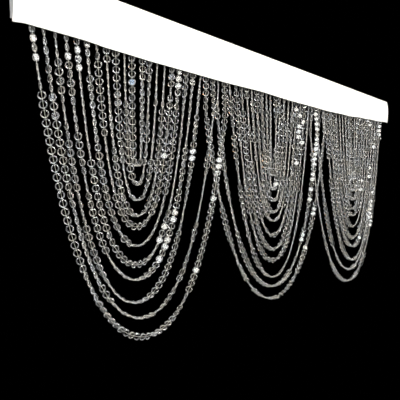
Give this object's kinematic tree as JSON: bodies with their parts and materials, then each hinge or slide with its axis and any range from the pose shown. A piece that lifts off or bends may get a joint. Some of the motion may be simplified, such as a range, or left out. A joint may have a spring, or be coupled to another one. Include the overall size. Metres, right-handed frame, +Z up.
{
  "type": "bead curtain",
  "caption": "Swag valance of clear disc beads strung in nested, interlocking loops under a white cloth heading band.",
  "frame": {"origin": "middle of the heading band's top edge, where the curtain is held up", "axes": "+X along the band from its left end to its right end, -Y towards the viewer, +Z up"},
  "size_m": [1.6, 0.0327, 0.6421],
  "materials": {
    "white_cloth": "matt woven polyester, bleached white",
    "clear_beads": "clear moulded acrylic discs with polished rims on a pale thread"
  },
  "bodies": {
    "root": {"heading_band": "white_cloth", "beaded_loops": "clear_beads"}
  },
  "joints": []
}
